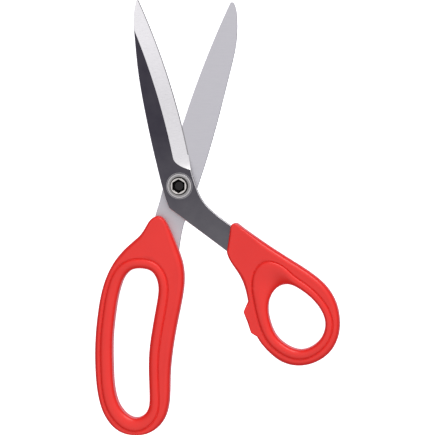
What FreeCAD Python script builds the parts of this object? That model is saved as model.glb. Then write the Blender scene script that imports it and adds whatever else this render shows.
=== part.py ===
import FreeCAD, Part
import math
import os

# Fabric shears with moulded handles, open and lying flat. Millimetres, +Z up.
# The origin is on the pivot axis, in the plane the shears rest on. +Y points out between the blades.

# ---- Heights --------------------------------------------------------------------------------
ride_z = 6.0                # plane in which the two inner blade faces ride on each other
blade_gap = 0.10            # play between the inner faces
steel = 3.0                 # thickness of the blade stock
handle_top = 12.0           # crest of the raised rim round each finger opening
rim_step = 0.8              # how far the rim stands above and below the web of the handle
upper_inner_z = ride_z + blade_gap / 2
lower_inner_z = ride_z - blade_gap / 2

# ---- Cutting shapes -------------------------------------------------------------------------
through = 1.0               # how far a cutting shape stands past the faces it cuts
same_level = 1e-4           # edges closer than this to a level lie in it

# ---- Blade grinding -------------------------------------------------------------------------
bevel_width = 8.8           # ground bevel, measured square to the cutting edge
edge_land = 0.55            # steel left under the bevel at the edge line
keen_width = 0.5            # honed micro bevel along the edge
keen_land = 0.06            # steel left at the very edge
runout_radius = 18.0        # grinding wheel's run-out at the heel
runout_start = 8.4          # where the run-out begins, measured up the edge from the heel
edge_break = 0.3            # chamfer round the outer face
bevel_slope = (steel - edge_land) / bevel_width
keen_slope = (edge_land + keen_width * bevel_slope - keen_land) / keen_width
grind_outside = 1.5         # how far the grind reaches outside the edge line
grind_past_tip = 1.06       # the grind runs on past the tip, as a share of the edge's length
wheel_lead = 3.0            # the run-out wheel starts this far outside the edge
wheel_travel = 17.4         # and is drawn this far up the bevel

# ---- Upper blade outline, thumb side --------------------------------------------------------
upper_heel = (6.6, 9.7)
upper_edge_end = (-23.9, 106.8)
upper_edge_bulge = 3.1
upper_tip_radius = 0.7
upper_tip_turn = 130.0
upper_spine = [(-25.7, 104.7), (-26.4, 100.5), (-26.2, 88.1), (-24.0, 65.8), (-19.7, 41.0),
               (-15.0, 19.4), (-10.9, 2.7), (-8.3, -6.6), (-6.0, -12.9)]
upper_waist = [(8.0, 4.4), (10.0, -1.5), (13.2, -8.0), (18.0, -13.6), (25.6, -19.7)]
upper_tang_right = [(37.8, -28.3), (53.2, -39.3)]
upper_tang_left = (46.9, -51.7)
upper_anchor_holes = [(36.7, -35.2), (45.7, -41.9)]

# ---- Lower blade outline, finger side -------------------------------------------------------
lower_heel = (-6.1, 9.6)
lower_edge_end = (29.0, 104.8)
lower_edge_bulge = -2.2
lower_tip_radius = 1.3
lower_tip_turn = -128.0
lower_spine = [(32.3, 102.2), (33.0, 96.4), (32.7, 83.9), (28.9, 65.5), (21.9, 38.0),
               (13.8, 10.3), (2.0, -22.1)]
lower_waist = [(-8.2, 3.6), (-10.3, -2.7), (-12.2, -9.9), (-14.7, -18.9)]
lower_tang_right = [(0.1, -30.8), (-0.9, -38.3), (-1.8, -54.3), (-4.6, -75.4)]
lower_tang_left = [(-11.7, -75.5), (-9.6, -58.4), (-11.2, -38.4)]
lower_anchor_holes = [(-6.0, -46.3), (-7.2, -64.4)]
anchor_radius = 2.4

# ---- Handles: outlines, those of the openings anticlockwise ----------------------------------
finger_outline = [(-13.1, -17.5), (-16.3, -19.1), (-19.1, -22.9), (-22.4, -27.9), (-27.9, -33.0),
                  (-34.5, -39.4), (-40.1, -47.5), (-44.6, -58.3), (-47.7, -72.9), (-49.5, -91.6),
                  (-49.3, -110.3), (-47.4, -124.4), (-43.2, -135.5), (-35.8, -142.9),
                  (-26.1, -145.3), (-16.5, -143.2), (-9.7, -136.8), (-6.5, -127.4),
                  (-5.7, -111.6), (-4.1, -94.6), (-1.5, -79.5), (1.2, -66.3), (2.6, -54.7),
                  (1.7, -45.0), (-1.3, -35.9), (-5.0, -26.8), (-7.1, -22.3), (-9.7, -18.6)]
finger_opening = [(-22.7, -48.0), (-30.4, -50.7), (-34.9, -59.5), (-37.6, -72.8), (-39.3, -88.9),
                  (-39.3, -106.1), (-38.0, -120.8), (-33.5, -131.1), (-25.9, -135.4),
                  (-19.4, -131.6), (-17.6, -122.4), (-18.0, -108.8), (-17.6, -95.2),
                  (-15.5, -80.6), (-13.0, -66.5), (-12.7, -55.9), (-15.8, -50.1)]

thumb_outline = [(30.4, -19.4), (48.4, -32.0), (61.5, -40.4), (77.8, -50.9), (85.3, -57.7),
                 (90.4, -66.3), (92.6, -76.7), (91.7, -86.5), (87.1, -95.2), (78.3, -101.4),
                 (68.6, -103.3), (59.7, -101.3), (51.5, -95.1), (45.3, -86.9), (41.9, -77.3),
                 (40.2, -67.8), (37.8, -57.7), (33.6, -49.1), (28.8, -41.5), (27.6, -38.0)]
thumb_opening = [(61.8, -56.4), (56.1, -58.8), (52.6, -63.7), (51.4, -70.7), (52.8, -78.7),
                 (56.6, -86.6), (62.3, -91.5), (70.0, -94.0), (78.0, -91.1), (82.8, -85.6),
                 (84.4, -77.8), (82.4, -71.6), (76.8, -64.4), (69.3, -58.7)]
stop_lug = [(40.1, -65.8), (37.4, -72.3), (41.8, -84.4), (46.0, -87.1), (49.2, -79.7),
            (47.2, -67.7)]

rim_width = 5.5             # raised rim, measured out from the opening
web_fillet = 2.2            # rounding of the handle's outer edges
neck_corner_fillet = 2.4    # upright corners where the thumb handle grips its tang
rim_inner_fillet = 2.0
rim_outer_fillet = 0.7
lug_fillet = 0.6

# ---- Pivot ----------------------------------------------------------------------------------
screw_head_radius = 6.5
screw_head_chamfer = 0.5
square_neck = 6.4
square_hole = 6.5
neck_top_z = 5.6
stem_radius = 2.92
stem_top_z = 10.0
stem_chamfer = 0.5

inner_washer_radius = 8.0
inner_washer_bore = 3.3
inner_washer_thick = 0.33
inner_washer_play = 0.1
inner_washer_recess = 0.25

bush_outer_radius = 4.75
bush_inner_radius = 4.05
spotface_radius = 7.5
spotface_depth = 0.15

flat_washer_radius = 7.0
washer_bore = 4.15
flat_washer_thick = 0.62
spring_radius = 6.2
spring_thick = 0.4
spring_cone = 0.3
stack_play = 0.02

nut_barrel_radius = 4.0
nut_bore_radius = 3.0
nut_barrel_bottom_z = 6.25
nut_head_radius = 5.0
nut_head_height = 2.6
nut_head_chamfer = 0.4
hex_across_flats = 7.0
hex_depth = 2.4
lock_seat_radius = 3.45
lock_seat_depth = 0.95
lock_ring_bore = 2.97
lock_ring_height = 0.8

washer_z = upper_inner_z + steel - spotface_depth + stack_play
spring_z = washer_z + flat_washer_thick
nut_seat_z = spring_z + spring_thick + spring_cone + stack_play
nut_top_z = nut_seat_z + nut_head_height
socket_floor_z = nut_top_z - hex_depth

up = FreeCAD.Vector(0, 0, 1)


# ---- Small helpers --------------------------------------------------------------------------
def at(pair, z=0.0):
    return FreeCAD.Vector(pair[0], pair[1], z)


def straight(start, end):
    return Part.makeLine(at(start), at(end))


def smooth(points, heading=None):
    """Curve through the points; heading, in radians, is the way it sets out."""
    curve = Part.BSplineCurve()
    through = [at(point) for point in points]
    if heading is None:
        curve.interpolate(through)
    else:
        ahead = FreeCAD.Vector(math.cos(heading), math.sin(heading), 0)
        flags = [True] + [False] * (len(points) - 1)
        curve.interpolate(Points=through, Tangents=[ahead] * len(points), TangentFlags=flags)
    return curve.toShape()


def three_point_arc(start, middle, end):
    return Part.Arc(at(start), at(middle), at(end)).toShape()


def ring_curve(points):
    curve = Part.BSplineCurve()
    curve.interpolate(Points=[at(point) for point in points], PeriodicFlag=True)
    return curve


def widened(points, distance):
    """The same anticlockwise outline, moved outwards square to its curve."""
    curve = ring_curve(points)
    moved = []
    for point in points:
        along = curve.tangent(curve.parameter(at(point)))[0]
        moved.append((point[0] + along.y * distance, point[1] - along.x * distance))
    return moved


def prism(edges, low, high):
    wire = Part.Wire(Part.sortEdges(edges)[0])
    face = Part.Face(wire)
    face.translate(FreeCAD.Vector(0, 0, low))
    return face.extrude(up * (high - low))


def ring_prism(points, low, high):
    return prism([ring_curve(points).toShape()], low, high)


def polygon_prism(points, low, high):
    edges = [straight(points[i - 1], points[i]) for i in range(len(points))]
    return prism(edges, low, high)


def cylinder(radius, low, high, centre=(0.0, 0.0)):
    return Part.makeCylinder(radius, high - low, at(centre, low))


def tube(outer, inner, low, high):
    return cylinder(outer, low, high).cut(cylinder(inner, low, high))


def box_about_axis(side, low, high):
    corner = FreeCAD.Vector(-side / 2, -side / 2, low)
    return Part.makeBox(side, side, high - low, corner)


def turned(profile):
    """Solid of revolution about the pivot axis from (radius, z) points."""
    corners = [FreeCAD.Vector(radius, 0, z) for radius, z in profile]
    face = Part.Face(Part.makePolygon(corners + corners[:1]))
    return face.revolve(FreeCAD.Vector(0, 0, 0), up, 360)


def edges_at(shape, z):
    """Edges that lie wholly in one level."""
    found = []
    for edge in shape.Edges:
        box = edge.BoundBox
        if abs(box.ZMin - z) < same_level and abs(box.ZMax - z) < same_level:
            found.append(edge)
    return found


# ---- Blades: modelled with the inner face at z = 0 and the outer face up ---------------------
def edge_circle(heel, tip, bulge):
    """Centre and radius of the cutting edge, an arc that stands bulge to the right of its chord."""
    chord = at(tip) - at(heel)
    side = FreeCAD.Vector(chord.y, -chord.x, 0)
    side.normalize()
    signed_radius = (chord.Length ** 2 / 4 + bulge ** 2) / (2 * bulge)
    centre = (at(heel) + at(tip)) * 0.5 + side * (bulge - signed_radius)
    return centre, abs(signed_radius)


def cutting_edge(heel, tip, bulge):
    """The edge arc, and the headings in which it leaves the heel downwards and reaches the tip."""
    centre, radius = edge_circle(heel, tip, bulge)
    outward = (at(heel) + at(tip)) * 0.5 - centre
    outward.normalize()
    middle = centre + outward * radius
    chord = at(tip) - at(heel)
    chord_heading = math.atan2(chord.y, chord.x)
    half_turn = math.copysign(math.asin(chord.Length / 2 / radius), bulge)
    arc = Part.Arc(at(heel), middle, at(tip)).toShape()
    return arc, chord_heading - half_turn + math.pi, chord_heading + half_turn


def tip_rounding(start, heading, radius, turn):
    """Small arc that carries on from the cutting edge; returns it with its end and last heading."""
    side = math.copysign(math.pi / 2, turn)
    centre = at(start) + FreeCAD.Vector(math.cos(heading + side), math.sin(heading + side), 0) * radius
    points = []
    for share in (0.0, 0.5, 1.0):
        spoke = heading - side + math.radians(turn) * share
        points.append((centre.x + radius * math.cos(spoke), centre.y + radius * math.sin(spoke)))
    return three_point_arc(*points), points[-1], heading + math.radians(turn)


def ground_cutter(centre, radius, start, sweep, land, slope):
    """What a cone-shaped grind takes off: everything above land + slope * distance from the edge."""
    clear = steel + through
    outside = radius + grind_outside
    profile = [(outside, land - grind_outside * slope), (outside, clear),
               (radius - (clear - land) / slope, clear)]
    corners = [FreeCAD.Vector(r * math.cos(start), r * math.sin(start), z) for r, z in profile]
    face = Part.Face(Part.makePolygon(corners + corners[:1]))
    face.translate(centre)
    return face.revolve(centre, up, math.degrees(sweep))


def runout_cutter(centre, radius, start, sweep):
    """Half a grinding wheel, tangent to the bevel where the run-out begins."""
    outward = FreeCAD.Vector(math.cos(start), math.sin(start), 0)
    to_heel = FreeCAD.Vector(math.sin(start), -math.cos(start), 0) * math.copysign(1.0, sweep)
    tilt = math.atan(bevel_slope)
    along = up * math.sin(tilt) - outward * math.cos(tilt)
    normal = up * math.cos(tilt) + outward * math.sin(tilt)
    low = centre + outward * radius + up * edge_land - along * wheel_lead
    hub = low + normal * runout_radius
    top = hub + normal * runout_radius
    arc = Part.Arc(low, hub + to_heel * runout_radius, top).toShape()
    face = Part.Face(Part.Wire([arc, Part.makeLine(top, low)]))
    return face.extrude(along * wheel_travel)


def ground_blade(outline, heel, tip, bulge):
    blade = prism(outline, 0.0, steel)
    blade = blade.makeChamfer(edge_break, edges_at(blade, steel))
    centre, radius = edge_circle(heel, tip, bulge)
    from_heel = at(heel) - centre
    from_tip = at(tip) - centre
    heel_angle = math.atan2(from_heel.y, from_heel.x)
    turn = math.atan2(from_tip.y, from_tip.x) - heel_angle
    turn = (turn + math.pi) % (2 * math.pi) - math.pi
    way = math.copysign(1.0, turn)
    start = heel_angle + way * runout_start / radius
    sweep = way * (abs(turn) * grind_past_tip - runout_start / radius)
    blade = blade.cut(ground_cutter(centre, radius, start, sweep, edge_land, bevel_slope))
    blade = blade.cut(runout_cutter(centre, radius, start, sweep))
    return blade.cut(ground_cutter(centre, radius, start, sweep, keen_land, keen_slope))


def upper_blade_outline():
    edge, from_heel, to_tip = cutting_edge(upper_heel, upper_edge_end, upper_edge_bulge)
    tip, tip_end, to_spine = tip_rounding(upper_edge_end, to_tip, upper_tip_radius, upper_tip_turn)
    return [
        edge,
        tip,
        smooth([tip_end] + upper_spine, to_spine),
        straight(upper_spine[-1], upper_tang_left),
        straight(upper_tang_left, upper_tang_right[-1]),
        smooth([upper_heel] + upper_waist + upper_tang_right, from_heel),
    ]


def lower_blade_outline():
    edge, from_heel, to_tip = cutting_edge(lower_heel, lower_edge_end, lower_edge_bulge)
    tip, tip_end, to_spine = tip_rounding(lower_edge_end, to_tip, lower_tip_radius, lower_tip_turn)
    return [
        edge,
        tip,
        smooth([tip_end] + lower_spine, to_spine),
        smooth([lower_spine[-1]] + lower_tang_right),
        straight(lower_tang_right[-1], lower_tang_left[0]),
        smooth([lower_heel] + lower_waist + lower_tang_left[::-1], from_heel),
    ]


def with_anchor_holes(blade, centres):
    for centre in centres:
        blade = blade.cut(cylinder(anchor_radius, -through, steel + through, centre))
    return blade


def upper_blade():
    blade = ground_blade(upper_blade_outline(), upper_heel, upper_edge_end, upper_edge_bulge)
    blade = with_anchor_holes(blade, upper_anchor_holes)
    blade = blade.cut(cylinder(bush_outer_radius, -through, steel + through))
    blade = blade.cut(cylinder(spotface_radius, steel - spotface_depth, steel + through))
    blade.translate(up * upper_inner_z)
    return blade


def lower_blade():
    blade = ground_blade(lower_blade_outline(), lower_heel, lower_edge_end, lower_edge_bulge)
    blade = with_anchor_holes(blade, lower_anchor_holes)
    blade = blade.cut(box_about_axis(square_hole, -through, steel + through))
    recess_radius = inner_washer_radius + inner_washer_play
    blade = blade.cut(cylinder(recess_radius, -through, inner_washer_recess))
    blade = blade.mirror(FreeCAD.Vector(0, 0, 0), up)
    blade.translate(up * lower_inner_z)
    return blade


# ---- Handles --------------------------------------------------------------------------------
def rounded_prism(shape, low, high, radius):
    return shape.makeFillet(radius, edges_at(shape, low) + edges_at(shape, high))


def with_finger_hole(web, opening, tang):
    """Adds the thick rim round the opening, cuts it through and rounds its mouth on both faces."""
    rim = ring_prism(widened(opening, rim_width), 0.0, handle_top)
    rim = rounded_prism(rim, 0.0, handle_top, rim_outer_fillet)
    handle = web.fuse(rim).cut(ring_prism(opening, -through, handle_top + through))
    longest_mouth = ring_curve(opening).length() + rim_width
    mouth = [edge for edge in edges_at(handle, 0.0) + edges_at(handle, handle_top)
             if edge.Length < longest_mouth]
    return handle.makeFillet(rim_inner_fillet, mouth).cut(tang).removeSplitter()


def finger_handle(tang):
    web = ring_prism(finger_outline, rim_step, handle_top - rim_step)
    web = rounded_prism(web, rim_step, handle_top - rim_step, web_fillet)
    return with_finger_hole(web, finger_opening, tang)


def thumb_handle(tang):
    web_low = rim_step
    web_high = handle_top - rim_step
    web = prism([straight(thumb_outline[-1], thumb_outline[0]), smooth(thumb_outline)],
                web_low, web_high)
    uprights = [edge for edge in web.Edges if edge.BoundBox.ZLength > rim_step]
    web = web.makeFillet(neck_corner_fillet, uprights)
    web = rounded_prism(web, web_low, web_high, web_fillet)
    lug = rounded_prism(polygon_prism(stop_lug, web_low, web_high), web_low, web_high, lug_fillet)
    return with_finger_hole(web.fuse(lug), thumb_opening, tang)


# ---- Pivot ----------------------------------------------------------------------------------
def pivot_screw():
    head_top = lower_inner_z - steel
    head = turned([(0.0, 0.0), (screw_head_radius - screw_head_chamfer, 0.0),
                   (screw_head_radius, screw_head_chamfer), (screw_head_radius, head_top),
                   (0.0, head_top)])
    neck = box_about_axis(square_neck, head_top, neck_top_z)
    stem = turned([(0.0, neck_top_z), (stem_radius, neck_top_z),
                   (stem_radius, stem_top_z - stem_chamfer),
                   (stem_radius - stem_chamfer, stem_top_z), (0.0, stem_top_z)])
    return head.fuse([neck, stem]).removeSplitter()


def bearing_washer():
    low = lower_inner_z - inner_washer_recess
    return tube(inner_washer_radius, inner_washer_bore, low, low + inner_washer_thick)


def pivot_bush():
    return tube(bush_outer_radius, bush_inner_radius, upper_inner_z,
                upper_inner_z + steel - spotface_depth)


def flat_washer():
    return tube(flat_washer_radius, washer_bore, washer_z, washer_z + flat_washer_thick)


def disc_spring():
    return turned([(washer_bore, spring_z + spring_cone),
                   (washer_bore, spring_z + spring_cone + spring_thick),
                   (spring_radius, spring_z + spring_thick),
                   (spring_radius, spring_z)])


def pivot_nut():
    barrel = cylinder(nut_barrel_radius, nut_barrel_bottom_z, nut_seat_z)
    head = turned([(0.0, nut_seat_z), (nut_head_radius, nut_seat_z),
                   (nut_head_radius, nut_top_z - nut_head_chamfer),
                   (nut_head_radius - nut_head_chamfer, nut_top_z), (0.0, nut_top_z)])
    corner = hex_across_flats / math.sqrt(3)
    points = []
    for side in range(6):
        angle = math.pi / 6 + math.pi / 3 * side
        points.append((corner * math.cos(angle), corner * math.sin(angle)))
    socket = polygon_prism(points, socket_floor_z, nut_top_z)
    bore = cylinder(nut_bore_radius, nut_barrel_bottom_z, nut_top_z)
    lock_seat = cylinder(lock_seat_radius, socket_floor_z - lock_seat_depth, nut_top_z)
    return barrel.fuse(head).cut(bore.fuse([socket, lock_seat])).removeSplitter()


def lock_ring():
    low = socket_floor_z - lock_seat_depth
    return tube(lock_seat_radius, lock_ring_bore, low, low + lock_ring_height)


# ---- Assembly -------------------------------------------------------------------------------
def build():
    upper = upper_blade()
    lower = lower_blade()
    return {
        "upper_blade": upper,
        "lower_blade": lower,
        "thumb_handle": thumb_handle(upper),
        "finger_handle": finger_handle(lower),
        "pivot_screw": pivot_screw(),
        "bearing_washer": bearing_washer(),
        "pivot_bush": pivot_bush(),
        "flat_washer": flat_washer(),
        "disc_spring": disc_spring(),
        "pivot_nut": pivot_nut(),
        "lock_ring": lock_ring(),
    }


os.makedirs("parts", exist_ok=True)
for name, shape in build().items():
    shape.exportStep("parts/" + name + ".step")
    box = shape.BoundBox
    print(name, "solids", len(shape.Solids), "valid", shape.isValid(), "volume", round(shape.Volume, 1),
          "z", round(box.ZMin, 2), round(box.ZMax, 2))
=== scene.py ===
import math

import bmesh
import bpy
import numpy as np
from mathutils import Matrix, Vector


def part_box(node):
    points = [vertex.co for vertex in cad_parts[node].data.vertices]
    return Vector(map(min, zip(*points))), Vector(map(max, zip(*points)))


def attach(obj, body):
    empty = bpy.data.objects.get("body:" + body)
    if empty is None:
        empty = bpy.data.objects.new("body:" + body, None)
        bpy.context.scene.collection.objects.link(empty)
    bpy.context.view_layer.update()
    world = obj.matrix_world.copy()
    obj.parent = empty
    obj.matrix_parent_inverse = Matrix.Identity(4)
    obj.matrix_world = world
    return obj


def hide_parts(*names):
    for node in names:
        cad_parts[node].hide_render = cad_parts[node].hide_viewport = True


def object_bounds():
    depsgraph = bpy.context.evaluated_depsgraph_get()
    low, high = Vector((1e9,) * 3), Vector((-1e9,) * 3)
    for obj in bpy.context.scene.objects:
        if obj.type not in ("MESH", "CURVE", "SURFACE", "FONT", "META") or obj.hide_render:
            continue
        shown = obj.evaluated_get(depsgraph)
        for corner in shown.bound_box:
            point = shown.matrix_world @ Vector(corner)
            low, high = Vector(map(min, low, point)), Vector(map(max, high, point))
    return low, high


# Fabric shears, lying open. The CAD blades and the inner pivot parts stay and get their finish here.
# The two moulded handles and the parts on top of the pivot are built here, from the CAD nodes' own sizes.
# Working numbers are in millimetres with +Z up; finished meshes, lights and the camera are in metres.
mm = 0.001

# ---- Handles: section through the moulding --------------------------------------------------
bead_width = 5.5            # raised bead round the opening, out to the crease, on the lower face
bead_fall = 2.4             # outer part of the bead, from its crest down to the crease
crease_drop = 0.45          # crease, below the flat web
crease_floor = 0.25         # width of the crease's bottom
crease_width = 0.8          # whole width of the crease
web_drop = 0.8              # web, below the crest of the bead
mouth_depth = 3.2           # height over which the opening's mouth is rounded
edge_round = 3.0            # width of the outer edge's rounding
edge_depth = 3.6            # height of the outer edge's rounding
crisp_round = 1.5           # width of the rounding near a tight corner of the outline
tight_corner = 2.6          # radius under which a corner counts as tight
crisp_reach = 14.0          # how far along the outline that holds
room_share = 0.85           # largest share of the room inside the outline that the rounding takes
brink_gap = 0.3             # least flat web left between the crease and the rounding
parting_ridge = 0.06        # how far the mould's parting line stands out round the outer wall
parting_width = 0.25        # half its width

# ---- Finger handle: width of the bead by the direction it faces, in degrees ------------------
finger_bead = [(0, 5.5), (100, 5.5), (150, 6.3), (180, 6.7), (225, 7.2), (268, 7.9), (310, 6.6), (360, 5.5)]

# ---- Thumb handle: the bead widens into a scoop on the side of the neck ----------------------
thumb_bead = 4.9            # width of the bead, halfway through its swing
thumb_bead_swing = 0.8      # the bead is this much wider at thumb_bead_heading, and narrower opposite
thumb_bead_heading = 215.0
scoop_heading = 124.0       # direction in which the scoop runs out of the opening, in degrees
scoop_reach = 11.6          # how much wider the bead is there
scoop_spread = (24.0, 28.0) # how far round it reaches, clockwise and anticlockwise, in degrees
scoop_depth = 2.5           # extra depth of the mouth there

# ---- Pivot: small shapes added to the CAD sizes ----------------------------------------------
hex_across_flats = 7.0      # the nut's socket
socket_depth = 2.4
socket_mouth = 0.3          # depth over which the socket's mouth is rounded
barrel_play = 0.05          # nut's barrel, inside the bush
lip_radius = 4.6            # bright lip round the socket
lip_drop = 0.8              # the flange falls away by this much outside the lip
dark_radius = 5.35          # shaded inner part of the spring
ring_break = 0.15           # rounding of the rings' edges
longest_break = 0.4         # most of a ring's side that one rounding takes
break_lead = 1.2            # points that hold the flat beside a rounding, in widths of the rounding
break_steps = 5
spring_thick = 0.4
ring_highlight = (7.3, 7.6)  # thin ring round the washer where the coat gives way to bright steel, a painted highlight
ring_highlight_share = 0.4                # how far the coat gives way there

# ---- Blade finish: a face's direction is 1 where it looks straight out of the coated side ----
coat_facing = 0.986             # above this a face is coated
inner_facing = -0.985           # below this it belongs to the satin inner side
steep_shade_facing = (0.64, 0.68)     # steeper faces, such as the honed edge, get painted shade: a darker colour than the bevel
chamfer_facing = (0.75, 0.80)   # steeper faces, such as the chamfers, are rougher than the bevel
brush_stretch = 0.06            # of the pattern along X, which makes it lines across the blade
brush_turn = -13.0              # degrees; it comes after the stretch, so the lines stay along X
tip_sheen_side = (50.0, 85.0)         # stretch along Y over which a painted sheen brightens the bevel towards the tip
pivot_sheen_side = (40.0, 0.0)        # and over which the painted sheen brightens it towards the pivot
coat_sheen_side = (-40.0, 30.0)    # stretch along Y over which the coat goes from light, a painted reflection, to dark

# ---- Light: colour by how far a direction leans towards the axis of the sky, from -1 to 1 -----
sky_axis = (0.24, 0.12, 0.963)
sky_strength = 1.16
key_place = (0.7, 1.5, 0.55)
key_size = (1.2, 0.5)
key_power = 14.0
sky_light = [
    (-1.0, (0.80, 0.76, 0.88)),
    (-0.8, (0.62, 0.59, 0.69)),
    (-0.35, (0.16, 0.15, 0.18)),
    (0.05, (0.11, 0.10, 0.12)),
    (0.4, (0.48, 0.48, 0.50)),
    (0.75, (1.0, 1.0, 1.0)),
    (1.0, (0.93, 0.93, 0.95)),
]

# ---- Table and camera, in metres -------------------------------------------------------------
floor_reach = 3.0           # from the middle of the table to its sides
floor_gap = 0.2 * mm        # between the lowest point and the table
camera_place = (0.179, 0.060, 1.30)
camera_target = (0.02182, -0.01825, 0.006)
camera_lens = 187.29

# ---- Fineness of the meshes -----------------------------------------------------------------
columns = 480               # round a handle
segments = 96               # round a turned part
outline_points = 1600
facet_steps = 16            # points of the smooth line on each facet of the CAD outline
quarter_turn = np.radians(np.linspace(0, 90, 10))
wall_rows = (0.0, 0.6)      # rows on the opening's wall, from the mid plane up to its mouth
web_rows = (0.1, 0.4, 0.7, 0.93)    # rows on the flat web, from the crease over to the rounding
weld = 1e-6                 # points nearer than this are one, in metres
section_lift = 0.02         # the section lies this much above the mid plane
shortest_side = 0.02        # points of a section closer than this are left out
least_turn = 0.1            # and so are those where it turns by less than this, in degrees
sharp_turn = 25.0           # an outline that turns by more than this keeps its corner, in degrees
pairing_blur = 8            # blurs, in points of the outline
bead_blur = 20


# ---- Outlines: rings of (x, y) points, anticlockwise ----------------------------------------
def turns(ring):
    """How far an outline turns at each point, in radians."""
    ahead = np.roll(ring, -1, 0) - ring
    behind = ring - np.roll(ring, 1, 0)
    cross = behind[:, 0] * ahead[:, 1] - behind[:, 1] * ahead[:, 0]
    return np.arctan2(cross, np.sum(ahead * behind, axis=1))


def girth(ring):
    return np.sum(np.linalg.norm(ring - np.roll(ring, 1, 0), axis=1))


def section(node, height):
    """Outlines in which a level plane cuts a CAD node, the longest first."""
    cut = bmesh.new()
    cut.from_mesh(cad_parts[node].data)
    bmesh.ops.remove_doubles(cut, verts=cut.verts, dist=weld)
    bmesh.ops.bisect_plane(cut, geom=cut.verts[:] + cut.edges[:] + cut.faces[:],
                           plane_co=(0, 0, height * mm), plane_no=(0, 0, 1),
                           clear_inner=True, clear_outer=True)
    cut.verts.index_update()
    rings = []
    waiting = {vert.index: vert for vert in cut.verts}
    while waiting:
        chain = [waiting.pop(min(waiting))]
        onward = [chain[0]]
        while onward:
            onward = [edge.other_vert(chain[-1]) for edge in chain[-1].link_edges]
            onward = [vert for vert in onward if vert.index in waiting][:1]
            chain += [waiting.pop(vert.index) for vert in onward]
        ring = np.array([vert.co.xy for vert in chain]) / mm
        ring = ring[np.linalg.norm(ring - np.roll(ring, 1, 0), axis=1) > shortest_side]
        ring = ring[np.abs(turns(ring)) > math.radians(least_turn)]
        rings.append(ring if np.sum(turns(ring)) > 0 else ring[::-1])
    cut.free()
    return sorted(rings, key=girth, reverse=True)


def even(ring, count):
    """The same line as evenly spaced points."""
    closed = np.vstack([ring, ring[:1]])
    run = np.append(0.0, np.cumsum(np.linalg.norm(np.diff(closed, axis=0), axis=1)))
    where = np.linspace(0.0, run[-1], count, endpoint=False)
    return np.column_stack([np.interp(where, run, closed[:, axis]) for axis in (0, 1)])


def eased(ring):
    """A smooth, evenly spaced line through a faceted outline, which keeps its sharp corners."""
    ahead = np.roll(ring, -1, 0) - ring
    run = np.linalg.norm(ahead, axis=1, keepdims=True)
    heading = ahead / run
    last_run = np.roll(run, 1, 0)
    slope = np.roll(heading, 1, 0) * run + heading * last_run
    slope *= np.minimum(run, last_run) / np.linalg.norm(slope, axis=1, keepdims=True)
    slope[np.abs(turns(ring)) > math.radians(sharp_turn)] = 0.0
    share = np.linspace(0.0, 1.0, facet_steps, endpoint=False)[None, :, None]
    start, end = ring[:, None], np.roll(ring, -1, 0)[:, None]
    leave, arrive = slope[:, None], np.roll(slope, -1, 0)[:, None]
    curve = ((2 * share ** 3 - 3 * share ** 2 + 1) * start + (3 * share ** 2 - 2 * share ** 3) * end
             + (share ** 3 - 2 * share ** 2 + share) * leave + (share ** 3 - share ** 2) * arrive)
    return even(curve.reshape(-1, 2), outline_points)


def outward(ring):
    """Unit normals that point out of an outline."""
    ahead = np.roll(ring, -1, 0) - np.roll(ring, 1, 0)
    ahead = ahead / np.linalg.norm(ahead, axis=1, keepdims=True)
    return np.column_stack([ahead[:, 1], -ahead[:, 0]])


def blurred(values, reach):
    """Values round a ring, each averaged over its neighbours."""
    steps = np.arange(-3 * reach, 3 * reach + 1)
    weights = np.exp(-0.5 * (steps / reach) ** 2)
    return sum(w * np.roll(values, step) for step, w in zip(steps, weights)) / np.sum(weights)


def read(ring, where):
    """Values of a ring at fractional places along it."""
    low = np.floor(where).astype(int)
    part = where - low
    if ring.ndim > 1:
        part = part[:, None]
    return ring[low % len(ring)] * (1 - part) + ring[(low + 1) % len(ring)] * part


def room_inside(ring, normals):
    """Radius of the largest disc that touches an outline from inside, at each point."""
    gap = ring[:, None] - ring[None, :]
    depth = np.sum(gap * normals[:, None], axis=2)
    square = np.sum(gap * gap, axis=2)
    radius = np.where(depth > 1e-6, square / np.maximum(2 * depth, 1e-9), np.inf)
    return np.min(radius, axis=1)


def crossings(inner, normals, outer):
    """Where each inner normal first meets the outer outline, as an index, and how far off."""
    step = np.roll(outer, -1, 0) - outer
    where = []
    far = []
    for point, normal in zip(inner, normals):
        offset = outer - point
        cross = normal[0] * step[:, 1] - normal[1] * step[:, 0]
        cross = np.where(np.abs(cross) < 1e-12, 1e-12, cross)
        reach = (offset[:, 0] * step[:, 1] - offset[:, 1] * step[:, 0]) / cross
        share = (offset[:, 0] * normal[1] - offset[:, 1] * normal[0]) / cross
        reach = np.where((reach > 0) & (share >= 0) & (share <= 1), reach, np.inf)
        first = int(np.argmin(reach))
        where.append(first + share[first])
        far.append(reach[first])
    return np.array(where), np.array(far)


def paired(inner, outer):
    """Matching places along the inner and the outer outline, one pair for each column."""
    where, far = crossings(inner, outward(inner), outer)
    narrowest = int(np.argmin(far))
    count = len(outer)
    rising = np.unwrap(np.roll(where, -narrowest), period=count)
    rising = np.maximum.accumulate(rising)
    along = np.arange(len(inner)) * count / len(inner)
    rising = along + blurred(rising - along, pairing_blur)
    progress = (along + rising - rising[0]) / 2
    wanted = np.linspace(0.0, count, columns, endpoint=False)
    on_inner = np.interp(wanted, np.append(progress, count), np.append(along, count))
    on_outer = np.interp(wanted, np.append(progress, count), np.append(rising, rising[0] + count))
    return on_inner * len(inner) / count + narrowest, on_outer


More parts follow.
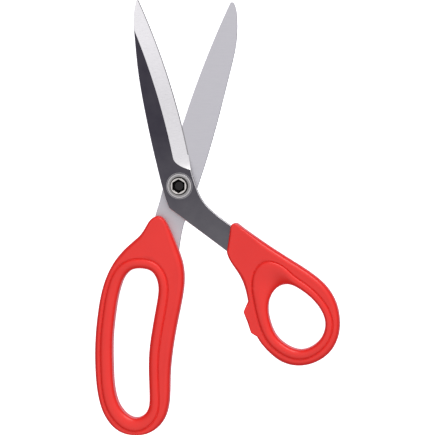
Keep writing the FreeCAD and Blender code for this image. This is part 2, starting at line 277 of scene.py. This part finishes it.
# ---- Handles --------------------------------------------------------------------------------
def edge_rounding(outer, normals, brink):
    """Width of the outer edge's rounding, which shrinks near tight corners and narrow places."""
    room = room_inside(outer, normals)
    reach = int(crisp_reach * len(outer) / girth(outer))
    tight = room < tight_corner
    near = np.any([np.roll(tight, step) for step in range(-reach, reach + 1)], axis=0)
    width = blurred(np.where(near, crisp_round, edge_round), reach // 3)
    space = np.min(np.linalg.norm(outer[:, None] - brink[None, ::4], axis=2), axis=1)
    limit = np.minimum(room * room_share, space - brink_gap)
    limit = np.min([np.roll(limit, step) for step in range(-reach // 3, reach // 3 + 1)], axis=0)
    return np.minimum(width, blurred(limit, reach // 6))


def face_rows(inner, outer, width, depth, rounding, crest):
    """Rows of points over one face of a handle, from the middle of the opening's wall
    to the middle of the outer wall, as (x, y, height above the mid plane)."""
    inner_points, inner_out = inner
    outer_points, outer_out = outer
    rows = []

    def row(points, height):
        rows.append(np.column_stack([points, np.broadcast_to(height, len(points))]))

    def beside_opening(distance, height):
        row(inner_points + inner_out * np.broadcast_to(distance, len(inner_points))[:, None], height)

    def inside_edge(distance, height):
        row(outer_points - outer_out * np.broadcast_to(distance, len(outer_points))[:, None], height)

    rise = width - bead_fall
    web = crest - web_drop
    for share in wall_rows:
        beside_opening(0.0, share * (crest - depth))
    for turn in quarter_turn:
        beside_opening(rise * (1 - math.cos(turn)), crest - depth * (1 - math.sin(turn)))
    for turn in quarter_turn[2:]:
        fall = (web_drop + crease_drop) * (1 - math.cos(turn))
        beside_opening(rise + bead_fall * math.sin(turn), crest - fall)
    beside_opening(width + crease_floor, web - crease_drop)
    beside_opening(width + (crease_floor + crease_width) / 2, web - crease_drop * 0.4)
    beside_opening(width + crease_width, web)
    brink = rows[-1][:, :2]
    brim = outer_points - outer_out * rounding[:, None]
    for share in web_rows:
        row(brink + (brim - brink) * share, web)
    drop = edge_depth * rounding / edge_round
    for turn in quarter_turn:
        inside_edge(rounding * (1 - math.sin(turn)), web - drop * (1 - math.cos(turn)))
    inside_edge(0.0, parting_width * 2)
    inside_edge(0.0, parting_width)
    inside_edge(-parting_ridge, 0.0)
    return rows


def grid_mesh(name, rows):
    """A closed skin through rows of points; the last row joins the first, and each row is a ring."""
    points = np.array(rows) * mm
    mesh = bmesh.new()
    verts = [[mesh.verts.new(point) for point in row] for row in points]
    for i, row in enumerate(verts):
        above = verts[i - 1]
        for j in range(len(row)):
            mesh.faces.new((above[j - 1], above[j], row[j], row[j - 1]))
    bmesh.ops.recalc_face_normals(mesh, faces=mesh.faces)
    return finished(name, mesh)


def finished(name, mesh):
    """Turns working geometry into a smooth-shaded object."""
    data = bpy.data.meshes.new(name)
    mesh.to_mesh(data)
    mesh.free()
    data.polygons.foreach_set("use_smooth", [True] * len(data.polygons))
    piece = bpy.data.objects.new(name, data)
    bpy.context.scene.collection.objects.link(piece)
    return piece


def plain_bead(normals):
    return np.full(len(normals), bead_width), np.full(len(normals), mouth_depth)


def heading_of(normals):
    return np.degrees(np.arctan2(normals[:, 1], normals[:, 0])) % 360


def finger_bead_round(normals):
    """Width of the finger opening's bead and depth of its mouth."""
    headings, widths = zip(*finger_bead)
    width = blurred(np.interp(heading_of(normals), headings, widths), bead_blur)
    return width, np.full(len(normals), mouth_depth)


def scooped_bead(normals):
    """Width of the thumb opening's bead and depth of its mouth."""
    heading = heading_of(normals)
    away = (heading - scoop_heading + 180) % 360 - 180
    spread = np.where(away < 0, scoop_spread[0], scoop_spread[1])
    scoop = np.exp(-0.5 * (away / spread) ** 2)
    swing = np.cos(np.radians(heading - thumb_bead_heading))
    width = thumb_bead + thumb_bead_swing * swing + scoop_reach * scoop
    return width, mouth_depth + scoop_depth * scoop


def handle(name, node, upper_bead):
    """One moulded handle in place of its CAD node."""
    low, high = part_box(node)
    middle = (low.z + high.z) / 2 / mm
    crest = (high.z - low.z) / 2 / mm
    outlines = section(node, middle + section_lift)
    outer_ring = eased(outlines[0])
    inner_ring = eased(outlines[1])
    on_inner, on_outer = paired(inner_ring, outer_ring)
    inner = read(inner_ring, on_inner), read(outward(inner_ring), on_inner)
    outer = read(outer_ring, on_outer), read(outward(outer_ring), on_outer)
    faces = []
    for bead in (upper_bead, plain_bead):
        width, depth = bead(outward(inner_ring))
        brink = inner_ring + outward(inner_ring) * (width + crease_width)[:, None]
        rounding = edge_rounding(outer_ring, outward(outer_ring), brink)
        faces.append(face_rows(inner, outer, read(width, on_inner), read(depth, on_inner),
                               read(rounding, on_outer), crest))
    upper, lower = faces
    rows = [row + [0, 0, middle] for row in upper]
    rows += [row * [1, 1, -1] + [0, 0, middle] for row in lower[-2:0:-1]]
    piece = grid_mesh(name, rows)
    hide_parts(node)
    return piece


# ---- Pivot: parts turned about the Z axis ---------------------------------------------------
around = np.linspace(0.0, 2 * math.pi, segments, endpoint=False)


def softened(line):
    """An open line of (radius, height) points with the corners between its ends rounded."""
    line = np.array(line)
    soft = [line[0]]
    for before, corner, after in zip(line, line[1:], line[2:]):
        start = (before - corner) * min(ring_break / np.linalg.norm(before - corner), longest_break)
        end = (after - corner) * min(ring_break / np.linalg.norm(after - corner), longest_break)
        soft.append(corner + start * break_lead)
        soft += [corner + start * (1 - t) ** 2 + end * t ** 2 for t in np.linspace(0, 1, break_steps)]
        soft.append(corner + end * break_lead)
    return soft + [line[-1]]


def turned(name, node, profile):
    """A ring turned about the pivot axis, in place of its CAD node. Its profile is
    a closed line of (radius, height) points."""
    rows = [np.column_stack([radius * np.cos(around), radius * np.sin(around), np.full(segments, height)])
            for radius, height in profile]
    piece = grid_mesh(name, rows)
    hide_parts(node)
    return piece


def reach_of(node):
    """Least and greatest distance of a CAD node from the pivot axis, then its lowest and highest level."""
    points = np.array([vert.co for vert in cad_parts[node].data.vertices]) / mm
    radius = np.hypot(points[:, 0], points[:, 1])
    return radius.min(), radius.max(), points[:, 2].min(), points[:, 2].max()


def thrust_washer():
    bore, rim, bottom, top = reach_of("flat_washer")
    middle = (bottom + top) / 2
    line = softened([(bore, middle), (bore, bottom), (rim, bottom), (rim, top), (bore, top), (bore, middle)])
    return turned("thrust_washer", "flat_washer", line[:-1])


def cone_spring():
    bore, rim, bottom, top = reach_of("disc_spring")
    inside = top - spring_thick
    middle = top - spring_thick / 2
    line = softened([(bore, middle), (bore, inside), (rim, bottom), (rim, bottom + spring_thick),
                     (bore, top), (bore, middle)])
    return turned("cone_spring", "disc_spring", line[:-1])


def tension_nut():
    """The flanged nut, with a hexagonal socket rounded at its mouth."""
    bore, flange, bottom, top = reach_of("pivot_nut")
    barrel = reach_of("pivot_bush")[0] - barrel_play
    seat = reach_of("disc_spring")[3]
    line = softened([(bore, bottom), (barrel, bottom), (barrel, seat), (flange, seat),
                     (flange, top - lip_drop), (lip_radius, top), (bore, top)])
    sixth = math.pi / 3
    hexagon = hex_across_flats / 2 / np.cos((around + sixth / 2) % sixth - sixth / 2)
    floor = top - socket_depth
    mouth = [(hexagon + socket_mouth * (1 - math.sin(turn)) / 3, top - socket_mouth * (1 - math.cos(turn)))
             for turn in quarter_turn[::3]]
    return turned("tension_nut", "pivot_nut", line[:-1] + mouth + [(hexagon, floor), (bore, floor)])


# ---- Finishes -------------------------------------------------------------------------------
class Finish:
    """A material being put together round one Principled shader."""

    def __init__(self, name):
        self.material = bpy.data.materials.new(name)
        self.material.use_nodes = True
        self.shader = self.material.node_tree.nodes["Principled BSDF"]

    def add(self, kind, inputs, **settings):
        node = self.material.node_tree.nodes.new("ShaderNode" + kind)
        for key, value in settings.items():
            setattr(node, key, value)
        for socket, value in inputs.items():
            self.feed(node.inputs[socket], value)
        return node

    def feed(self, socket, value):
        if isinstance(value, bpy.types.NodeSocket):
            self.material.node_tree.links.new(value, socket)
        else:
            socket.default_value = value

    def shade(self, **inputs):
        for socket, value in inputs.items():
            self.feed(self.shader.inputs[socket.replace("_", " ")], value)

    def place(self, turn=0.0, stretch=(1.0, 1.0, 1.0)):
        """The object's own coordinates, stretched and then turned about Z."""
        own = self.add("TexCoord", {})
        return self.add("Mapping", {"Vector": own.outputs["Object"], "Rotation": (0.0, 0.0, turn),
                                    "Scale": stretch}).outputs["Vector"]

    def noise(self, place, size, detail=2.0, roughness=0.5):
        """Random cloud between 0 and 1; size is that of one patch, in millimetres."""
        inputs = {"Vector": place, "Scale": 1 / (size * mm), "Detail": detail, "Roughness": roughness}
        return self.add("TexNoise", inputs).outputs["Fac"]

    def span(self, value, low, high, start=0.3, end=0.7):
        """Carries a value from start..end over to low..high."""
        inputs = {"Value": value, "From Min": start, "From Max": end, "To Min": low, "To Max": high}
        return self.add("MapRange", inputs).outputs["Result"]

    def blend(self, share, first, second):
        """Colour between first and second."""
        node = self.add("Mix", {}, data_type="RGBA")
        self.feed(node.inputs[0], share)
        self.feed(node.inputs[6], first)
        self.feed(node.inputs[7], second)
        return node.outputs[2]

    def scaled(self, colour, factor):
        """Colour made brighter or darker by a factor."""
        node = self.add("VectorMath", {}, operation="SCALE")
        self.feed(node.inputs[0], colour)
        self.feed(node.inputs["Scale"], factor)
        return node.outputs[0]

    def mixed(self, share, first, second):
        """Number between first and second."""
        node = self.add("Mix", {}, data_type="FLOAT")
        self.feed(node.inputs[0], share)
        self.feed(node.inputs[2], first)
        self.feed(node.inputs[3], second)
        return node.outputs[0]

    def sum(self, first, second, operation="ADD"):
        node = self.add("Math", {}, operation=operation)
        self.feed(node.inputs[0], first)
        self.feed(node.inputs[1], second)
        return node.outputs[0]

    def step(self, value, edge):
        """0 below the edge and 1 above it."""
        return self.sum(value, edge, "GREATER_THAN")

    def pivot_place(self):
        """Distance from the pivot axis and height, in metres."""
        own = self.add("TexCoord", {}).outputs["Object"]
        flat = self.add("Mapping", {"Vector": own, "Scale": (1.0, 1.0, 0.0)})
        radius = self.add("VectorMath", {"Vector": flat.outputs["Vector"]}, operation="LENGTH")
        return radius.outputs["Value"], self.add("SeparateXYZ", {"Vector": own}).outputs["Z"]

    def bump(self, height, depth, strength):
        inputs = {"Height": height, "Distance": depth * mm, "Strength": strength}
        return self.add("Bump", inputs).outputs["Normal"]


def rgb(red, green, blue):
    return (red, green, blue, 1.0)


def moulded_red():
    finish = Finish("moulded_red")
    place = finish.place()
    broad = finish.noise(place, 30.0)
    grain = finish.noise(place, 0.5, detail=3.0)
    colour = finish.blend(finish.span(broad, 0.0, 1.0), rgb(0.80, 0.020, 0.013), rgb(0.74, 0.016, 0.011))
    finish.shade(Base_Color=colour, Roughness=finish.span(grain, 0.30, 0.40),
                 Normal=finish.bump(grain, 0.02, 0.35))
    finish.shader.inputs["IOR"].default_value = 1.46
    return finish.material


def blade_finish(name, outer_side):
    """Blade steel: a dark coat on the flat outer face; bevel, edges and inner face are ground bright.
    outer_side is +1 where the outer face looks up, and -1 where it looks down."""
    finish = Finish(name)
    geometry = finish.add("NewGeometry", {})
    normal = finish.add("SeparateXYZ", {"Vector": geometry.outputs["True Normal"]})
    facing = finish.sum(normal.outputs["Z"], float(outer_side), "MULTIPLY")
    radius, _ = finish.pivot_place()
    # painted highlight: a thin bright ring in the coat round the washer
    ring_glint = finish.sum(finish.step(radius, ring_highlight[0] * mm),
                          finish.step(radius, ring_highlight[1] * mm), "SUBTRACT")
    ring_glint = finish.sum(ring_glint, ring_highlight_share, "MULTIPLY")
    coated = finish.sum(finish.step(facing, coat_facing), ring_glint, "SUBTRACT")
    inner = finish.sum(facing, inner_facing, "LESS_THAN")
    across = finish.place(turn=math.radians(brush_turn * outer_side), stretch=(brush_stretch, 1.0, 1.0))
    lines = finish.noise(across, 0.5, detail=4.0, roughness=0.7)
    place = finish.place()
    broad = finish.noise(place, 9.0, detail=3.0)
    grain = finish.noise(place, 0.4, detail=3.0)
    level = finish.add("SeparateXYZ", {"Vector": place}).outputs["Y"]
    bright = finish.blend(finish.span(lines, 0.0, 1.0), rgb(0.71, 0.693, 0.71), rgb(0.79, 0.775, 0.79))
    satin = finish.blend(finish.span(lines, 0.0, 1.0), rgb(0.56, 0.55, 0.585), rgb(0.63, 0.62, 0.65))
    # painted sheen: the bevel's colour is brighter towards the tip and towards the pivot
    bevel_sheen = finish.sum(finish.span(level, 0.88, 1.0, tip_sheen_side[0] * mm, tip_sheen_side[1] * mm),
                            finish.span(level, 0.0, 0.05, pivot_sheen_side[0] * mm, pivot_sheen_side[1] * mm))
    # painted shade: steep faces, such as the honed edge and the side walls, are painted darker
    steep_face_shade = finish.span(facing, 0.55, 1.0, *steep_shade_facing)
    bright = finish.scaled(bright, finish.sum(bevel_sheen, steep_face_shade, "MULTIPLY"))
    steel = finish.blend(inner, bright, satin)
    coat = finish.blend(finish.span(broad, 0.0, 1.0), rgb(0.044, 0.040, 0.054), rgb(0.054, 0.050, 0.063))
    # painted reflection: the coat is painted lighter towards the handle end of the blade
    sheen_lit_coat = finish.blend(finish.span(broad, 0.0, 1.0), rgb(0.120, 0.115, 0.128), rgb(0.140, 0.133, 0.146))
    coat_sheen_share = finish.span(level, 1.0, 0.0, coat_sheen_side[0] * mm, coat_sheen_side[1] * mm)
    coat = finish.blend(coat_sheen_share, coat, sheen_lit_coat)
    chamfered = finish.span(facing, 0.35, 0.0, *chamfer_facing)
    ground_rough = finish.sum(finish.span(lines, 0.26, 0.36), chamfered)
    coat_rough = finish.span(grain, 0.38, 0.50)
    rough = finish.mixed(coated, ground_rough, coat_rough)
    relief = finish.mixed(coated, lines, grain)
    finish.shade(Base_Color=finish.blend(coated, steel, coat), Metallic=1.0, Roughness=rough,
                 Normal=finish.bump(relief, 0.01, 0.3))
    return finish.material


def nut_steel():
    """A nickel-plated lip round a socket painted black as shade, with a flange painted dark as shade."""
    finish = Finish("nut_steel")
    place = finish.place()
    grain = finish.noise(place, 0.35, detail=3.0)
    broad = finish.noise(place, 3.0)
    radius, height = finish.pivot_place()
    top = reach_of("pivot_nut")[3]
    # painted shade: the socket below its rounded mouth is painted black
    inside = finish.sum(finish.sum(radius, lip_radius * mm, "LESS_THAN"),
                        finish.sum(height, (top - socket_mouth) * mm, "LESS_THAN"), "MULTIPLY")
    lip = finish.blend(finish.span(broad, 0.0, 1.0), rgb(0.66, 0.63, 0.60), rgb(0.50, 0.47, 0.46))
    # painted shade: the flange outside the lip is painted dark, for the shade round the lip
    flange = finish.blend(finish.span(broad, 0.0, 1.0), rgb(0.08, 0.07, 0.07), rgb(0.05, 0.05, 0.05))
    lip_and_shaded_flange = finish.blend(finish.step(radius, lip_radius * mm), lip, flange)
    socket_shade = finish.blend(grain, rgb(0.010, 0.008, 0.009), rgb(0.030, 0.026, 0.028))
    finish.shade(Base_Color=finish.blend(inside, lip_and_shaded_flange, socket_shade), Metallic=1.0,
                 Roughness=finish.span(grain, 0.20, 0.32), Normal=finish.bump(grain, 0.005, 0.3))
    return finish.material


def spring_finish():
    """Spring steel, dark beside the nut."""
    finish = Finish("spring_steel")
    grain = finish.noise(finish.place(), 0.4, detail=3.0)
    radius, _ = finish.pivot_place()
    tone = finish.blend(finish.span(grain, 0.0, 1.0), rgb(0.33, 0.32, 0.32), rgb(0.24, 0.23, 0.23))
    colour = finish.blend(finish.step(radius, dark_radius * mm), rgb(0.035, 0.033, 0.034), tone)
    finish.shade(Base_Color=colour, Metallic=1.0, Roughness=finish.span(grain, 0.20, 0.32),
                 Normal=finish.bump(grain, 0.01, 0.4))
    return finish.material


def dull(name, colour, metallic, roughness):
    finish = Finish(name)
    place = finish.place()
    grain = finish.noise(place, 0.4, detail=3.0)
    tone = finish.blend(finish.span(grain, 0.0, 1.0), colour, rgb(*[c * 0.8 for c in colour[:3]]))
    finish.shade(Base_Color=tone, Metallic=metallic, Normal=finish.bump(grain, 0.01, 0.4),
                 Roughness=finish.span(grain, roughness - 0.05, roughness + 0.05))
    return finish.material


def wear(piece, material):
    piece.data.materials.clear()
    piece.data.materials.append(material)


# ---- Studio ---------------------------------------------------------------------------------
def soft_world():
    """Light from above and, as if from a white table, from below; dark in between."""
    world = bpy.data.worlds.new("soft_world")
    bpy.context.scene.world = world
    world.use_nodes = True
    nodes = world.node_tree.nodes
    links = world.node_tree.links
    coordinates = nodes.new("ShaderNodeTexCoord")
    lean = nodes.new("ShaderNodeVectorMath")
    lean.operation = "DOT_PRODUCT"
    lean.inputs[1].default_value = sky_axis
    share = nodes.new("ShaderNodeMapRange")
    share.inputs["From Min"].default_value = -1.0
    ramp = nodes.new("ShaderNodeValToRGB")
    ramp.color_ramp.interpolation = "EASE"
    while len(ramp.color_ramp.elements) < len(sky_light):
        ramp.color_ramp.elements.new(0.5)
    for element, (level, colour) in zip(ramp.color_ramp.elements, sky_light):
        element.position = (level + 1) / 2
        element.color = rgb(*colour)
    links.new(coordinates.outputs["Generated"], lean.inputs[0])
    links.new(lean.outputs["Value"], share.inputs["Value"])
    links.new(share.outputs["Result"], ramp.inputs["Fac"])
    links.new(ramp.outputs["Color"], nodes["Background"].inputs["Color"])
    nodes["Background"].inputs["Strength"].default_value = sky_strength


def softbox(name, place, target, size, power):
    data = bpy.data.lights.new(name, "AREA")
    data.shape = "RECTANGLE"
    data.size, data.size_y = size
    data.energy = power
    lamp = bpy.data.objects.new(name, data)
    lamp.location = place
    lamp.rotation_mode = "QUATERNION"
    lamp.rotation_quaternion = (Vector(target) - Vector(place)).to_track_quat("-Z", "Y")
    lamp.visible_camera = False
    bpy.context.scene.collection.objects.link(lamp)


def white_floor():
    """A broad table top just under the lowest point. It glows, so it's white without a shadow,
    and the shears neither mirror it nor get light from it."""
    mesh = bmesh.new()
    for x in (-floor_reach, floor_reach):
        for y in (-floor_reach, floor_reach):
            mesh.verts.new((x, y if x < 0 else -y, cad_low.z - floor_gap))
    mesh.faces.new(mesh.verts)
    floor = finished("floor", mesh)
    finish = Finish("white_floor")
    mottle = finish.noise(finish.place(), 60.0)
    tone = finish.blend(finish.span(mottle, 0.0, 1.0), rgb(0.88, 0.88, 0.89), rgb(0.90, 0.90, 0.91))
    finish.shade(Base_Color=tone, Roughness=0.6)
    finish.shader.inputs["Emission Color"].default_value = (0.97, 0.98, 1.0, 1.0)
    finish.shader.inputs["Emission Strength"].default_value = 1.0
    wear(floor, finish.material)
    floor.visible_diffuse = False
    floor.visible_glossy = False


def camera(place, target, lens):
    """A camera whose picture has +Y upwards."""
    data = bpy.data.cameras.new("camera")
    data.lens = lens
    back = (Vector(place) - Vector(target)).normalized()
    right = Vector((0, 1, 0)).cross(back).normalized()
    above = back.cross(right)
    turn = Matrix((right, above, back)).transposed().to_4x4()
    view = bpy.data.objects.new("camera", data)
    view.matrix_world = Matrix.Translation(place) @ turn
    bpy.context.scene.collection.objects.link(view)
    bpy.context.scene.camera = view


# ---- The whole object -----------------------------------------------------------------------
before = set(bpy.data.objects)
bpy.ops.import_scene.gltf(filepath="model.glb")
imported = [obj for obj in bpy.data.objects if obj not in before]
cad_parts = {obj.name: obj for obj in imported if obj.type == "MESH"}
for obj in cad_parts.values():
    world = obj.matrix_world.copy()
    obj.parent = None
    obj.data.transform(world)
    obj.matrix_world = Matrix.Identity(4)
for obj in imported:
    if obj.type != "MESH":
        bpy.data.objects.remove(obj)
bpy.context.view_layer.update()
cad_low, cad_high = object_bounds()

red = moulded_red()
for name, node, body, bead in (("thumb_grip", "thumb_handle", "thumb_half", scooped_bead),
                               ("finger_grip", "finger_handle", "finger_half", finger_bead_round)):
    grip = handle(name, node, bead)
    wear(grip, red)
    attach(grip, body)

washer_steel = dull("washer_steel", rgb(0.52, 0.50, 0.51), 1.0, 0.28)
bronze = dull("bronze", rgb(0.42, 0.26, 0.12), 1.0, 0.40)
for piece, body, material in ((thrust_washer(), "finger_half", washer_steel),
                              (cone_spring(), "finger_half", spring_finish()),
                              (tension_nut(), "tension_nut", nut_steel())):
    wear(piece, material)
    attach(piece, body)

finishes = {
    "upper_blade": blade_finish("upper_blade_finish", 1),
    "lower_blade": blade_finish("lower_blade_finish", -1),
    # black oxide steel, a guess; its dark end at the bottom of the nut's socket is also painted shade
    "pivot_screw": dull("black_oxide_and_socket_shade", rgb(0.030, 0.028, 0.029), 1.0, 0.35),
    "bearing_washer": bronze,
    "pivot_bush": bronze,
    # dark nylon, which in the nut's socket is also painted shade
    "lock_ring": dull("dark_nylon_and_socket_shade", rgb(0.020, 0.020, 0.021), 0.0, 0.5),
}
for node, material in finishes.items():
    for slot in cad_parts[node].material_slots:
        slot.material = material

soft_world()
white_floor()
softbox("key", key_place, (0.0, 0.0, 0.0), key_size, key_power)
camera(camera_place, camera_target, camera_lens)
bpy.context.scene.view_settings.view_transform = "Standard"

bpy.context.view_layer.update()
